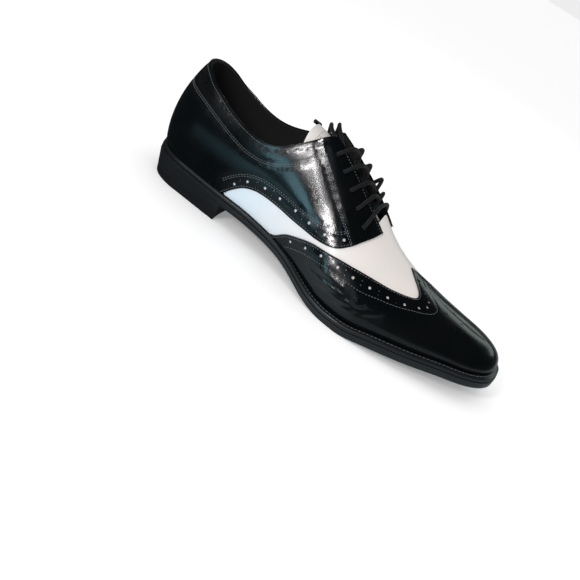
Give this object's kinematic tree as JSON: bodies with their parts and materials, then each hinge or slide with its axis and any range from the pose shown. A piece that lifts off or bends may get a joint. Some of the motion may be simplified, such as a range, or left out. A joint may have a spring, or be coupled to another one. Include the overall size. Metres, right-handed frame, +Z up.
{
  "type": "spectator shoe",
  "caption": "Right spectator shoe: open-laced black and white leather wing-tip brogue on a stitched welt with a stacked heel, laces loosely tied.",
  "frame": {"origin": "on the floor, at the middle of the heel's top lift, where the heel stands", "axes": "+X from heel to toe, +Y to the inner (medial) side of the foot, +Z up from the floor"},
  "size_m": [0.3119, 0.1068, 0.1027],
  "materials": {
    "black_leather": "polished, slightly grained",
    "white_leather": "smooth, semi-gloss",
    "sole_edge": "satin",
    "insole_leather": "matte",
    "lace_cord": "waxed, braided"
  },
  "bodies": {
    "root": {"outsole": "sole_edge", "welt": "sole_edge", "insole": "insole_leather", "heel_block": "sole_edge", "heel_lift": "sole_edge", "upper": "white_leather", "wing_cap": "black_leather", "quarter_outer": "black_leather", "quarter_inner": "black_leather", "tongue": "white_leather", "lace_row_1": "lace_cord", "lace_row_2": "lace_cord", "lace_row_3": "lace_cord", "lace_row_4": "lace_cord", "lace_row_5": "lace_cord", "lace_knot": "lace_cord", "lace_arch_outer": "lace_cord", "lace_arch_inner": "lace_cord", "lace_tail_hanging": "lace_cord", "lace_tail_tongue": "lace_cord"}
  },
  "joints": []
}
